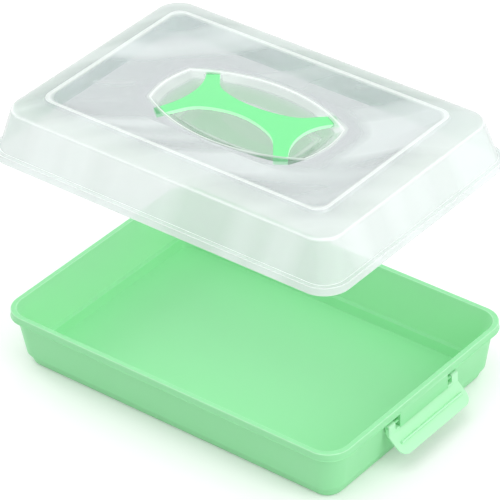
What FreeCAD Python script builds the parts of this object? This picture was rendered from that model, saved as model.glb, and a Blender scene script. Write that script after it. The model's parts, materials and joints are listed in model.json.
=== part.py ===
import FreeCAD, Part
import math
import os

# A moulded cake box: a mint tray with two side latches, a clear lid lifted straight off it,
# and the lid's snapped-in carrying handle. Millimetres, +Z up, +X along the box, and the
# origin under the middle of the tray.

# Tray, outside
rim_length = 450.0
rim_width = 310.0
rim_corner = 28.0
tray_height = 70.0
rim_overhang = 4.0
wall_corner = 26.0
step_height = 13.0
step_inset = 11.8
step_corner = 22.0
step_slope = 2.0
plinth_inset = 14.8
plinth_corner = 19.5
base_inset = 18.5
base_corner = 17.0
base_edge_round = 4.0
step_edge_round = 4.0

# Tray, inside
tray_wall = 1.8
tray_floor = 2.0
kerb_rise = 10.0
kerb_inset = 3.8
kerb_corner = 14.0
kerb_slope = 2.2

# Rim flange
flange_height = 8.8
flange_wall = 1.8
rim_top = 2.0
bead_height = 1.0
bead_reach = 0.6
rim_bevel = 0.8

# Lid
lid_lift = 205.0
lid_wall = 1.7
lid_play = 0.5
lid_seat_gap = 0.3
ledge_width = 5.2
shoulder_inset = 15.5
shoulder_height = 54.0
shoulder_corner = 26.0
shoulder_round = 5.0
panel_inset = 42.4
panel_height = 64.5
panel_corner = 17.0
panel_step = 3.2
panel_step_run = 2.2
ridge_width = 2.6
dish_depth = 8.5
dish_inset = 93.0
dish_steps = 2

# Grip recess in the middle of the lid's dished panel
recess_length = 203.0
recess_end_bulge = 6.0
recess_end_width = 65.0
recess_middle_width = 123.0
recess_depth = 20.0
recess_floor_length = 144.0
recess_floor_end_bulge = 2.0
recess_floor_end_width = 52.0
recess_floor_middle_width = 68.0
recess_wall_spread = 2.6

# Handle, pressed out of a shallow dome
handle_rise = 2.9
handle_dome_radius = 676.0
handle_waist = 20.0
handle_flare_reach = 43.0
handle_flare_width = 36.8
handle_arm_width = 14.8
handle_bend_radius = 37.9
handle_arm_length = 28.5
handle_arm_splay = 38.2
handle_end_length = 142.0
handle_thickness = 3.8
handle_play = 0.3
handle_bevel = 0.6

# Latch hinge on the tray
apron_width = 84.0
apron_stop_gap = 0.6
gusset_wall = 2.4
pin_radius = 1.6
pin_play = 0.06
knuckle_wall = 1.4
knuckle_gap = 0.4
hinge_drop = 8.7

# Latch
latch_width = 122.0
latch_wall = 2.2
latch_length = 28.0
latch_corner = 12.0
latch_gap = 0.5
latch_start_drop = 1.5
latch_open_angle = 42.0
latch_side_gap = 0.8
ear_width = 11.0
hook_width = 106.0
hook_reach = 3.8
hook_height = 3.4
hook_gap = 0.35
latch_bevel = 0.4

# How far a cutting shape runs past what it cuts, and the strips that make up a rounded edge
overrun = 1.0
round_steps = 1
quarter_turn = 90.0


def point(x, y, z):
    return FreeCAD.Vector(x, y, z)


def arc(start, middle, end):
    return Part.Arc(start, middle, end).toShape()


def line(start, end):
    return Part.LineSegment(start, end).toShape()


def rounded_loop(length, width, corner, z):
    """A rectangle with round corners, drawn around the Z axis at height z."""
    arcs = []
    quadrants = [(1, 1), (-1, 1), (-1, -1), (1, -1)]
    for quarter, (side_x, side_y) in enumerate(quadrants):
        middle = point(side_x * (length / 2 - corner), side_y * (width / 2 - corner), z)
        turns = [math.radians(quarter_turn * (quarter + share)) for share in (0, 1 / 2, 1)]
        arcs.append([middle + point(corner * math.cos(t), corner * math.sin(t), 0) for t in turns])
    edges = []
    for bend, following in zip(arcs, arcs[1:] + arcs[:1]):
        edges.append(arc(*bend))
        edges.append(line(bend[-1], following[0]))
    return Part.Wire(edges)


def stack(length, width, sections):
    """A solid through rounded rectangles, each given as its inset, height and corner radius."""
    loops = []
    for inset, z, corner in sections:
        loops.append(rounded_loop(length - 2 * inset, width - 2 * inset, corner, z))
    return Part.makeLoft(loops, True, True)


def eased(before, corner, after, radius):
    """Sections along an arc that rounds one corner of a stack's profile between its neighbours."""
    start, bend, end = [point(inset, z, 0) for inset, z, _ in (before, corner, after)]
    coming = bend - start
    going = end - bend
    turn = coming.getAngle(going)
    side = math.copysign(1, coming.cross(going).z)
    reach = radius * math.tan(turn / 2)
    first = corner[2] + (before[2] - corner[2]) * reach / coming.Length
    last = corner[2] + (after[2] - corner[2]) * reach / going.Length
    coming.normalize()
    centre = bend - coming * reach + point(-coming.y, coming.x, 0) * (side * radius)
    arm = point(coming.y, -coming.x, 0) * (side * radius)
    sections = []
    for step in range(round_steps + 1):
        share = step / round_steps
        swept = FreeCAD.Rotation(point(0, 0, side), math.degrees(turn * share)).multVec(arm)
        place = centre + swept
        sections.append((place.x, place.y, first + (last - first) * share))
    return sections


def barrel_loop(length, end_bulge, end_width, middle_width, z):
    """The grip recess outline: four corners, with sides and ends that bow outwards."""
    x = length / 2
    y = end_width / 2
    corners = [point(x, -y, z), point(x, y, z), point(-x, y, z), point(-x, -y, z)]
    bows = [
        point(x + end_bulge, 0, z),
        point(0, middle_width / 2, z),
        point(-x - end_bulge, 0, z),
        point(0, -middle_width / 2, z),
    ]
    edges = []
    for start, bow, end in zip(corners, bows, corners[1:] + corners[:1]):
        edges.append(arc(start, bow, end))
    return Part.Wire(edges)


def turned(shape, degrees, centre, axis):
    copy = shape.copy()
    copy.rotate(centre, axis, degrees)
    return copy


# Places that several pieces share
rim_x = rim_length / 2
flange_bottom = tray_height - flange_height
wall_run = (step_inset - rim_overhang) / (tray_height - step_height)
lid_bottom = flange_bottom + bead_height + lid_seat_gap
lid_grow = lid_play + lid_wall
lid_length = rim_length + 2 * lid_grow
lid_width = rim_width + 2 * lid_grow
lid_x = lid_length / 2
lid_corner = rim_corner + lid_grow
lid_ledge = tray_height + lid_seat_gap + lid_wall - lid_bottom
mouth_height = panel_height - dish_depth
knuckle_radius = pin_radius + pin_play + knuckle_wall
hinge_z = flange_bottom - hinge_drop


def wall_inset(z):
    """How far the tray's outer wall stands in from the rim at height z."""
    return rim_overhang + (tray_height - z) * wall_run


hinge_x = rim_x - wall_inset(hinge_z) + knuckle_radius + knuckle_gap
hinge = point(hinge_x, 0, hinge_z)
along_y = point(0, 1, 0)
latch_inner = lid_x + latch_gap
latch_outer = latch_inner + latch_wall
latch_start = flange_bottom - latch_start_drop
latch_swing = quarter_turn + latch_open_angle

# The open latch's flap stops just under the apron
open_foot = turned(Part.Vertex(latch_inner, 0, latch_start), latch_swing, hinge, along_y).Point
apron_bottom = open_foot.z + apron_stop_gap


def tray_shell():
    """The tray's walls, stepped foot and floor, as one drafted moulding."""
    underside = (base_inset + base_edge_round, 0, base_corner - base_edge_round)
    base = (base_inset, 0, base_corner)
    plinth = (plinth_inset, step_height - step_slope, plinth_corner)
    step = (step_inset, step_height, step_corner)
    rim = (rim_overhang, tray_height, wall_corner)
    foot = eased(underside, base, plinth, base_edge_round)
    outside = foot + [plinth] + eased(plinth, step, rim, step_edge_round) + [rim]

    kerb_inside = plinth_inset + tray_wall
    kerb_top = tray_floor + kerb_rise
    inside = [
        (kerb_inside + kerb_inset, tray_floor, kerb_corner),
        (kerb_inside, kerb_top, plinth_corner - tray_wall),
        (step_inset + tray_wall, kerb_top + kerb_slope, step_corner - tray_wall),
        (rim_overhang + tray_wall, tray_height, wall_corner - tray_wall),
    ]
    return stack(rim_length, rim_width, outside), stack(rim_length, rim_width, inside)


def rim_flange():
    """The turned-down rim that the lid's skirt drops over, with a bead along its lower edge."""
    band = stack(rim_length, rim_width, [
        (0, flange_bottom, rim_corner),
        (0, tray_height - rim_bevel, rim_corner),
        (rim_bevel, tray_height, rim_corner - rim_bevel),
    ])
    bead_sections = [
        (-bead_reach, flange_bottom, rim_corner + bead_reach),
        (-bead_reach, flange_bottom + bead_height / 2, rim_corner + bead_reach),
        (0, flange_bottom + bead_height, rim_corner),
    ]
    band = band.fuse(stack(rim_length, rim_width, bead_sections))
    groove = stack(rim_length, rim_width, [
        (flange_wall, flange_bottom - overrun, rim_corner - flange_wall),
        (flange_wall, tray_height - rim_top, rim_corner - flange_wall),
    ])
    return band, groove


def latch_apron():
    """The hinge carrier under the rim at +X: a front plate, two gussets and the hinge pins."""
    bottom = apron_bottom
    apron_drop = flange_bottom - bottom
    half = apron_width / 2
    root = tray_wall / 2
    low = rim_x - wall_inset(bottom) - root
    high = rim_x - wall_inset(flange_bottom) - root
    inner = rim_x - flange_wall
    front = Part.makeBox(flange_wall, apron_width, apron_drop + overrun, point(inner, -half, bottom))
    profile = [point(low, -half, bottom), point(inner, -half, bottom)]
    profile += [point(inner, -half, flange_bottom), point(high, -half, flange_bottom)]
    side = Part.Face(Part.makePolygon(profile + profile[:1]))
    gusset = side.extrude(point(0, gusset_wall, 0))
    pin_reach = latch_width / 2 - half
    shapes = [gusset]
    shapes.append(gusset.translated(point(0, apron_width - gusset_wall, 0)))
    shapes.append(Part.makeCylinder(pin_radius, pin_reach, point(hinge_x, half, hinge_z), along_y))
    shapes.append(Part.makeCylinder(pin_radius, pin_reach, point(hinge_x, -half, hinge_z), -along_y))
    return front.fuse(shapes)


def make_tray():
    outside, inside = tray_shell()
    band, groove = rim_flange()
    apron = latch_apron()
    other_apron = turned(apron, 2 * quarter_turn, point(0, 0, 0), point(0, 0, 1))
    tray = outside.fuse(band.cut(groove)).fuse([apron, other_apron])
    tray = tray.cut(inside).removeSplitter()
    return tray


def lid_blank(shrink):
    """The lid's filled form, or with shrink set to the wall, the hollow inside it."""
    skirt_bottom = -overrun if shrink else 0
    skirt = stack(lid_length, lid_width, [
        (shrink, skirt_bottom, lid_corner - shrink),
        (shrink, lid_ledge - shrink, lid_corner - shrink),
    ])
    wall_foot = (ledge_width + shrink, lid_ledge - shrink, lid_corner - ledge_width - shrink)
    shoulder = (shoulder_inset + shrink, shoulder_height - shrink, shoulder_corner - shrink)
    step_foot = (panel_inset + shrink, panel_height - panel_step - shrink, panel_corner)
    step_top = (panel_inset + panel_step_run + shrink, panel_height - shrink, panel_corner - panel_step_run)
    dome_sections = [wall_foot] + eased(wall_foot, shoulder, step_foot, shoulder_round - shrink)
    dome = stack(lid_length, lid_width, dome_sections + [step_foot, step_top])
    return skirt.fuse(dome)


def dish_form(drop):
    """What the dished panel leaves empty above it, or with drop set to the wall, the dish's underside."""
    start = panel_inset + panel_step_run + ridge_width
    corner = panel_corner - panel_step_run - ridge_width
    sections = [(start, panel_height + overrun - drop, corner)]
    for step in range(dish_steps + 1):
        share = step / dish_steps
        depth = dish_depth * (1 - (1 - share) ** 2)
        inset = start + (dish_inset - start) * share
        sections.append((inset, panel_height - depth - drop, corner))
    return stack(lid_length, lid_width, sections)


def recess_form(spread, extra_depth, rise):
    """The grip recess as a filled form, spread outwards and deepened by the wall for its underside."""
    grow = 2 * spread
    top = barrel_loop(
        recess_length + grow,
        recess_end_bulge,
        recess_end_width + grow,
        recess_middle_width + grow,
        mouth_height,
    )
    bottom = barrel_loop(
        recess_floor_length + grow,
        recess_floor_end_bulge,
        recess_floor_end_width + grow,
        recess_floor_middle_width + grow,
        mouth_height - recess_depth - extra_depth,
    )
    form = Part.makeLoft([bottom, top], True, True)
    if rise:
        cap = Part.Face(top).extrude(point(0, 0, rise))
        form = form.fuse(cap)
    return form


def handle_outline(z):
    """The four-armed handle in plan: a drawn-in waist, splayed arms and hollowed ends, all tangent."""
    splay = math.radians(handle_arm_splay)
    outwards = point(math.sin(splay), math.cos(splay), 0)
    across = point(math.cos(splay), -math.sin(splay), 0)
    waist = point(0, handle_waist / 2, 0)
    flare = point(handle_flare_reach, handle_flare_width / 2, 0)
    flare_turn = 2 * math.atan2(flare.y - waist.y, flare.x)
    bend_centre = flare + point(-math.sin(flare_turn), math.cos(flare_turn), 0) * handle_bend_radius
    half_turn = (flare_turn + math.pi / 2 - splay) / 2
    bow = bend_centre + point(math.sin(half_turn), -math.cos(half_turn), 0) * handle_bend_radius
    root = bend_centre + across * handle_bend_radius
    tip_inner = root + outwards * handle_arm_length
    tip_outer = tip_inner + across * handle_arm_width
    end_x = handle_end_length / 2
    end_radius = (across.dot(point(end_x, 0, 0) - tip_outer)) / (1 - across.x)
    heel = point(end_x + end_radius, 0, 0) - across * end_radius

    def place(p, side_x, side_y):
        return point(side_x * p.x, side_y * p.y, z)

    edges = []
    for side_y in (1, -1):
        left, middle, right = place(flare, -1, side_y), place(waist, 1, side_y), place(flare, 1, side_y)
        edges.append(arc(left, middle, right))
        for side_x in (1, -1):
            at = [place(p, side_x, side_y) for p in (flare, bow, root, tip_inner, tip_outer, heel)]
            edges.append(arc(at[0], at[1], at[2]))
            edges += [line(start, end) for start, end in zip(at[2:-1], at[3:])]
    for side_x in (1, -1):
        edges.append(arc(place(heel, side_x, 1), point(side_x * end_x, 0, z), place(heel, side_x, -1)))
    return Part.Wire(Part.sortEdges(edges)[0])


def handle_sheet(play):
    """The handle's plan pressed out of a shallow dome, or grown by the play, the slots it sits in."""
    dome_top = mouth_height + handle_rise
    foot = mouth_height - recess_depth
    outline = handle_outline(foot)
    if play:
        outline = outline.makeOffset2D(play)
    block = Part.Face(outline).extrude(point(0, 0, dome_top + overrun - foot))
    centre = point(0, 0, dome_top - handle_dome_radius)
    over = Part.makeSphere(handle_dome_radius + play, centre, -along_y)
    under = Part.makeSphere(handle_dome_radius - handle_thickness - play, centre, -along_y)
    return block.common(over).cut(under)


def make_handle():
    """The arched handle, with a bevel around its upper edge."""
    sheet = handle_sheet(0)
    crown = max(sheet.Faces, key=lambda face: face.CenterOfMass.z)
    return sheet.makeChamfer(handle_bevel, crown.Edges)


def make_lid():
    """The clear lid: an even shell with a dished panel, its grip recess and the handle's slots."""
    hollow = lid_blank(lid_wall).cut(dish_form(lid_wall))
    shell = lid_blank(0).cut(dish_form(0)).cut(hollow)
    shell = shell.fuse(recess_form(recess_wall_spread, lid_wall, 0))
    shell = shell.cut(recess_form(0, 0, overrun))
    return shell.cut(handle_sheet(handle_play)).removeSplitter()


def latch_plate(start, end, half_width, inner, outer):
    """The latch's flat flap as it stands when closed, with two large round corners at its free edge."""
    bend = latch_corner * (1 - math.cos(math.radians(quarter_turn / 2)))
    corner_y = half_width - latch_corner
    corner_z = end - latch_corner
    right = [point(inner, half_width, corner_z), point(inner, half_width - bend, end - bend)]
    right.append(point(inner, corner_y, end))
    left = [point(inner, -p.y, p.z) for p in reversed(right)]
    foot = [point(inner, -half_width, start), point(inner, half_width, start)]
    edges = [line(foot[0], foot[1]), line(foot[1], right[0]), arc(*right), line(right[-1], left[0])]
    edges += [arc(*left), line(left[-1], foot[0])]
    return Part.Face(Part.Wire(edges)).extrude(point(outer - inner, 0, 0))


def ear_side():
    """The cross-section of an ear: its web out to the flap's foot, and its round knuckle at the hinge."""
    foot = latch_start + latch_wall
    reach = point(latch_outer - hinge_x, 0, latch_start - hinge_z)
    reach.normalize()
    square = point(-reach.z, 0, reach.x)
    low = hinge - square * knuckle_radius
    high = hinge + square * knuckle_radius
    corners = [low, point(latch_outer, 0, latch_start)]
    corners += [point(latch_outer, 0, foot), point(latch_inner, 0, foot), high]
    web = Part.Face(Part.makePolygon(corners + corners[:1]))
    knuckle = Part.Face(Part.Wire(Part.makeCircle(knuckle_radius, hinge, along_y)))
    return web, knuckle


def bevel_flap(latch, faces, above, half_width):
    """Bevels the flap's free edges on both of its faces, from above the hook to the tip."""
    slack = overrun / 10
    edges = []
    for edge in latch.Edges:
        box = edge.BoundBox
        flat = any(abs(box.XMin - x) < slack and abs(box.XMax - x) < slack for x in faces)
        outline = box.ZMax > above + slack and abs(edge.CenterOfMass.y) < half_width + slack
        if flat and outline:
            edges.append(edge)
    return latch.makeChamfer(latch_bevel, edges)


def make_latch():
    """The right-hand latch, modelled closed against the lid's skirt, then swung open about its pins."""
    inner = latch_inner
    outer = latch_outer
    half_width = latch_width / 2
    flap = latch_plate(latch_start, latch_start + latch_length, half_width, inner, outer)

    slit = apron_width / 2 + latch_side_gap
    ear_start = half_width - ear_width
    web, knuckle = ear_side()
    notch = Part.Face(Part.Wire(Part.makeCircle(2 * knuckle_radius, hinge, along_y)))
    narrow = web.fuse(knuckle).removeSplitter().extrude(point(0, ear_width, 0))
    wide = web.cut(notch).extrude(point(0, ear_start - slit, 0))
    ears = []
    for y, shape in ((ear_start, narrow), (slit, wide), (-half_width, narrow), (-ear_start, wide)):
        ears.append(shape.translated(point(0, y, 0)))

    skirt_corner = point(lid_x - hinge_x, 0, lid_bottom + lid_ledge - hinge_z)
    swing = skirt_corner.Length + hook_gap
    root_x = inner - hinge_x
    tip_x = root_x - hook_reach
    middle_x = (root_x + tip_x) / 2
    arch = [hinge + point(x, 0, math.sqrt(swing ** 2 - x ** 2)) for x in (outer - hinge_x, middle_x, tip_x)]
    crown = arch[-1].z + hook_height / 2
    top = arch[0].z + hook_height
    hook_edges = [arc(*arch), line(arch[-1], point(arch[-1].x, 0, crown))]
    hook_edges.append(line(point(arch[-1].x, 0, crown), point(inner, 0, top)))
    hook_edges.append(line(point(inner, 0, top), point(outer, 0, top)))
    hook_edges.append(line(point(outer, 0, top), arch[0]))
    hook = Part.Face(Part.Wire(hook_edges)).extrude(point(0, hook_width, 0))
    hook.translate(point(0, -hook_width / 2, 0))

    latch = flap.fuse(ears + [hook]).removeSplitter()
    latch = bevel_flap(latch, (inner, outer), top, half_width)
    bore_start = point(hinge_x, -half_width - overrun, hinge_z)
    bore = Part.makeCylinder(pin_radius + pin_play, latch_width + 2 * overrun, bore_start, along_y)
    latch = latch.cut(bore)
    return turned(latch, latch_swing, hinge, along_y)


def main():
    os.makedirs("parts", exist_ok=True)
    lifted = point(0, 0, lid_bottom + lid_lift)
    right_latch = make_latch()
    pieces = {
        "tray": make_tray(),
        "lid": make_lid().translated(lifted),
        "lid_handle": make_handle().translated(lifted),
        "right_latch": right_latch,
        "left_latch": turned(right_latch, 2 * quarter_turn, point(0, 0, 0), point(0, 0, 1)),
    }
    for name, shape in pieces.items():
        solid = shape.Solids[0] if len(shape.Solids) == 1 else shape
        print(name, len(shape.Solids), solid.isValid(), round(solid.Volume), solid.BoundBox)
        solid.exportStep("parts/" + name + ".step")


main()
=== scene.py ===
import json
import math

import bmesh
import bpy
from bpy.props import FloatProperty, FloatVectorProperty, IntProperty, PointerProperty
from bpy.types import Operator, Panel, PropertyGroup
from mathutils import Matrix, Vector


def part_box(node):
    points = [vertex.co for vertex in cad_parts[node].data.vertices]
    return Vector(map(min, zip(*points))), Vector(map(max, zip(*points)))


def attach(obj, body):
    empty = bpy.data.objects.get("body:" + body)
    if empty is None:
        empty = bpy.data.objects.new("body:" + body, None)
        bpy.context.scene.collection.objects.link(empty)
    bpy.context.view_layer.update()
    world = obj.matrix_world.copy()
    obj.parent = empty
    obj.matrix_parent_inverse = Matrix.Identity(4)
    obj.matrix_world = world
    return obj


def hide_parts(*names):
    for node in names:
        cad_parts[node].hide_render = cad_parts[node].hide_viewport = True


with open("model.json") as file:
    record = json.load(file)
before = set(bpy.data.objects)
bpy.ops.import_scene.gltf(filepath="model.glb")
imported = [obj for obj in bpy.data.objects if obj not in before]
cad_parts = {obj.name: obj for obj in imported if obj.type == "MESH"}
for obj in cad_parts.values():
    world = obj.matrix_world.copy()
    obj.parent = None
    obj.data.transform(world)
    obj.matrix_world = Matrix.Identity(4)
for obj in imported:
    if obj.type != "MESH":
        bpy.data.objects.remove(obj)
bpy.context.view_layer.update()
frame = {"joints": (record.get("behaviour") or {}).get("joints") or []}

bl_info = {
    "name": "Cake box",
    "version": (1, 0, 0),
    "blender": (4, 5, 0),
    "location": "3D View > Sidebar > Cake box",
    "description": "Dresses a packed cake box: mint tray, clear lid, handle and side latches",
    "category": "Object",
}

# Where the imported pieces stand, in metres
tray_low, tray_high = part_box("tray")
lid_low, lid_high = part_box("lid")
hinge_joint = next(j for j in frame["joints"] if j["name"] == "right_latch_hinge")
hinge = Vector(hinge_joint["pos_m"])
latch_swing = math.radians(hinge_joint["range_deg"][1])

# Shared by all pieces
half_turn = math.pi
quarter_turn = math.pi / 2
weld_distance = 1e-6
sharp_angle = math.radians(34)
edge_strips = 3
white = (1, 1, 1, 1)
black = (0, 0, 0, 1)


def length_property(name, description, default):
    return FloatProperty(name=name, description=description, default=default, unit="LENGTH", precision=5)


def colour_property(name, description, default):
    return FloatVectorProperty(
        name=name, description=description, default=default, subtype="COLOR", size=3, min=0, max=1
    )


def spread_property(name, description, default):
    return FloatVectorProperty(
        name=name, description=description, default=default, subtype="XYZ_LENGTH", size=3
    )


def share_property(name, description, default):
    return FloatProperty(
        name=name, description=description, default=default, subtype="FACTOR", min=0, max=1
    )


def angle_property(name, description, degrees):
    return FloatProperty(
        name=name, description=description, default=math.radians(degrees), subtype="ANGLE"
    )


class TraySizes(PropertyGroup):
    """Sizes of the tray moulding."""

    bead_reach: length_property("Bead reach", "How far the bead stands out from the rim", 0.0006)
    bead_height: length_property("Bead height", "Height of the bead along the rim's lower edge", 0.001)
    rim_corner: length_property("Rim corner", "Corner radius of the rim in plan", 0.028)
    rim_drop: length_property("Rim drop", "Height of the rim's turned-down face", 0.0088)
    rim_overhang: length_property("Rim overhang", "How far the rim stands out over the wall", 0.004)
    rim_thickness: length_property("Rim thickness", "Thickness of the rim's top", 0.002)
    rim_round: length_property("Rim round", "Radius along the rim's edges", 0.001)
    wall: length_property("Wall", "Thickness of the tray's walls", 0.0018)
    floor: length_property("Floor", "Thickness of the tray's floor", 0.002)
    wall_corner: length_property("Wall corner", "Corner radius at the top of the wall", 0.026)
    step_height: length_property("Step height", "Height of the step above the foot", 0.013)
    step_inset: length_property("Step inset", "How far the step stands in from the rim", 0.0118)
    step_corner: length_property("Step corner", "Corner radius at the step", 0.022)
    step_drop: length_property("Step drop", "How far the step slopes down to the foot", 0.002)
    foot_inset: length_property("Foot inset", "How far the foot's top stands in from the rim", 0.0148)
    foot_corner: length_property("Foot corner", "Corner radius at the foot's top", 0.0195)
    base_inset: length_property("Base inset", "How far the underside stands in from the rim", 0.0185)
    base_corner: length_property("Base corner", "Corner radius of the underside", 0.017)
    base_round: length_property("Base round", "Radius around the underside and the step", 0.004)
    kerb_rise: length_property("Kerb rise", "Height of the low kerb around the floor", 0.010)
    kerb_run: length_property("Kerb run", "How far the kerb slopes in on its way down", 0.0038)
    kerb_corner: length_property("Kerb corner", "Corner radius where the kerb meets the floor", 0.014)
    kerb_slope: length_property("Kerb slope", "Rise from the kerb to the wall", 0.0022)
    apron_width: length_property("Apron width", "Width of the hinge apron under the rim", 0.084)
    gusset: length_property("Gusset", "Thickness of the apron's two gussets", 0.0024)
    stop_gap: length_property("Stop gap", "Gap between the apron and the open latch", 0.0006)
    pin_radius: length_property("Pin radius", "Radius of the hinge pins", 0.0016)
    # Paler inner walls are painted light
    wall_painted_light: share_property("Wall pale", "How much paler the inside of the walls is", 0.6)


class LidSizes(PropertyGroup):
    """Sizes of the lid moulding."""

    wall: length_property("Wall", "Thickness of the lid's walls", 0.0017)
    corner: length_property("Skirt corner", "Corner radius of the skirt in plan", 0.0302)
    skirt_height: length_property("Skirt height", "Height of the skirt below its ledge", 0.0095)
    ledge_width: length_property("Ledge width", "Width of the ledge above the skirt", 0.0052)
    ledge_round: length_property("Ledge round", "Radius along the ledge's edge", 0.001)
    seat_gap: length_property("Seat gap", "Gap between the closed lid and the tray's rim", 0.0003)
    shoulder_inset: length_property("Shoulder inset", "How far the shoulder stands in", 0.0155)
    shoulder_height: length_property("Shoulder height", "Height of the shoulder", 0.054)
    shoulder_corner: length_property("Shoulder corner", "Corner radius at the shoulder", 0.026)
    shoulder_round: length_property("Shoulder round", "Radius along the shoulder", 0.005)
    panel_inset: length_property("Panel inset", "How far the raised panel stands in", 0.0424)
    panel_corner: length_property("Panel corner", "Corner radius of the raised panel", 0.017)
    panel_step: length_property("Panel step", "Height of the raised panel above its band", 0.0032)
    panel_run: length_property("Panel run", "How far the panel's step slopes in", 0.0022)
    ridge_width: length_property("Ridge width", "Width of the ridge around the panel", 0.0026)
    ridge_round: length_property("Ridge round", "Radius along the ridge's two edges", 0.0012)
    dish_depth: length_property("Dish depth", "Depth of the panel's dish below its ridge", 0.0085)
    dish_inset: length_property("Dish inset", "Where the dish reaches its flat middle", 0.0895)
    dish_corner: length_property("Dish corner", "Corner radius of the dish's flat middle", 0.040)
    recess_length: length_property("Recess length", "Length of the grip recess at its mouth", 0.203)
    recess_bulge: length_property("Recess bulge", "How far the recess's ends bow out", 0.006)
    recess_end: length_property("Recess end width", "Width of the recess at its ends", 0.065)
    recess_middle: length_property("Recess middle width", "Width of the recess at its middle", 0.123)
    recess_depth: length_property("Recess depth", "Depth of the recess", 0.020)
    well_length: length_property("Well length", "Length of the recess's floor", 0.144)
    well_bulge: length_property("Well bulge", "How far the floor's ends bow out", 0.002)
    well_end: length_property("Well end width", "Width of the recess's floor at its ends", 0.052)
    well_middle: length_property("Well middle width", "Width of the recess's floor at its middle", 0.068)
    recess_spread: length_property("Recess spread", "How far the recess's underside stands out", 0.0026)
    mouth_round: length_property("Mouth round", "Radius around the recess's mouth", 0.002)
    well_round: length_property("Well round", "Radius around the recess's floor", 0.004)
    wall_milk: share_property("Wall milk", "How milky the walls are", 0.62)
    band_milk: share_property("Band milk", "How milky the sloping band is", 0.38)
    panel_milk: share_property("Panel milk", "How milky the dished panel is", 0.22)
    # The ridge's near-white milk is a painted highlight
    ridge_highlight_milk: share_property("Ridge milk", "How milky the ridge around the panel is", 0.97)
    collar_milk: share_property("Collar milk", "How milky the recess's walls are under its mouth", 0.42)
    recess_milk: share_property("Recess milk", "How milky the recess is", 0.06)


class HandleSizes(PropertyGroup):
    """Sizes of the lid's handle."""

    waist: length_property("Waist", "Width at the middle of the handle", 0.020)
    flare_reach: length_property("Flare reach", "How far from the middle the waist's curve ends", 0.043)
    flare_width: length_property("Flare width", "Width where the waist's curve ends", 0.0368)
    bend_radius: length_property("Bend radius", "Radius of the bend into each arm", 0.0379)
    arm_width: length_property("Arm width", "Width of each arm", 0.0148)
    arm_length: length_property("Arm length", "Length of each arm beyond its bend", 0.0285)
    arm_splay: angle_property("Arm splay", "Angle between the arms and the handle's width", 38.2)
    end_length: length_property("End length", "Distance between the hollowed ends", 0.142)
    rise: length_property("Rise", "How far the handle's middle stands above the recess's mouth", 0.0029)
    dome_radius: length_property("Dome radius", "Radius of the shallow dome it is pressed out of", 0.676)
    thickness: length_property("Thickness", "Thickness of the handle", 0.0038)
    play: length_property("Play", "Gap between the handle and the lid", 0.0003)
    edge_round: length_property("Edge round", "Radius along the handle's edges", 0.0008)


class LatchSizes(PropertyGroup):
    """Sizes of the side latches."""

    width: length_property("Width", "Width of the latch along the box", 0.122)
    wall: length_property("Wall", "Thickness of the flap", 0.0022)
    length: length_property("Length", "Length of the flap from its foot", 0.028)
    corner: length_property("Corner", "Radius of the flap's free corners", 0.012)
    gap: length_property("Gap", "Gap between the closed flap and the lid's skirt", 0.0005)
    start_drop: length_property("Start drop", "How far under the rim the flap starts", 0.0015)
    side_gap: length_property("Side gap", "Gap between the ears and the apron", 0.0008)
    ear_width: length_property("Ear width", "Width of each knuckle", 0.011)
    knuckle: length_property("Knuckle", "Radius of the knuckles", 0.00306)
    bore: length_property("Bore", "Radius of the bores that the pins run in", 0.00166)
    hook_width: length_property("Hook width", "Width of the hook rib", 0.106)
    hook_reach: length_property("Hook reach", "How far the hook rib stands out", 0.0038)
    hook_height: length_property("Hook height", "Height of the hook rib", 0.0034)
    hook_gap: length_property("Hook gap", "Gap between the hook and the lid's ledge", 0.00035)
    hook_round: length_property("Hook round", "Radius along the hook rib's edges", 0.0008)
    edge_round: length_property("Edge round", "Radius along the latch's edges", 0.0007)


class Finishes(PropertyGroup):
    """Colours of the mouldings and sizes of their surface texture."""

    tray_colour: colour_property("Tray", "Mint of the tray", (0.32, 0.80, 0.40))
    # The latches' lighter mint is the tray's plastic with painted light, for their lit flaps
    latch_painted_light_colour: colour_property("Latches", "Mint of the latches", (0.50, 0.94, 0.58))
    handle_colour: colour_property("Handle", "Brighter mint of the handle", (0.24, 0.90, 0.36))
    # Paler mint along rounded edges is a painted highlight
    edge_highlight_colour: colour_property("Moulded edges", "Paler mint along rounded edges", (0.62, 0.96, 0.68))
    lid_colour: colour_property("Lid", "Milky white of the lid's walls", (0.77, 0.79, 0.81))
    lid_tint: colour_property("Lid tint", "Tint of what is seen through each face", (0.79, 0.81, 0.82))
    wall_tint: colour_property("Wall tint", "The same through the lid's walls", (0.89, 0.92, 0.90))
    # The recess's darker tint is painted shade
    recess_shade_tint: colour_property("Recess shade tint", "The same through the grip recess", (0.68, 0.795, 0.71))
    # The lid's milky white edges are painted highlights
    edge_highlight_milk: share_property("Edge milk", "How milky the lid's edges are", 0.85)
    # The panel's soft streaks are painted reflections: milkier and brighter bands
    reflection_streak_milk: share_property("Streak milk", "How much milkier the panel's soft streaks are", 0.5)
    reflection_streak_glow: share_property("Streak glow", "How much brighter the panel's soft streaks are", 0.6)
    streak_angle: angle_property("Streak angle", "Turn of the streaks from the box's width", 48)
    streak_place: spread_property("Streak place", "Where the streaks' pattern starts", (0.5053, 0.455, 0))
    streak_size: spread_property("Streak size", "Width and length of the soft streaks", (0.032, 0.40, 1))
    lid_glow: share_property("Lid glow", "Share of the milk lit from behind", 0.5)
    lid_shine: share_property("Lid shine", "Share mirrored straight on", 0.04)
    # Milky white along the lid's edges is a painted highlight
    lid_edge_highlight_colour: colour_property("Lid edges", "Milky white along the lid's edges", (0.98, 0.99, 0.99))
    grain_size: length_property("Grain size", "Size of the moulded surface's fine grain", 0.0016)
    flow_size: length_property("Flow size", "Size of the slow waves in the mouldings' skin", 0.16)


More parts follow.
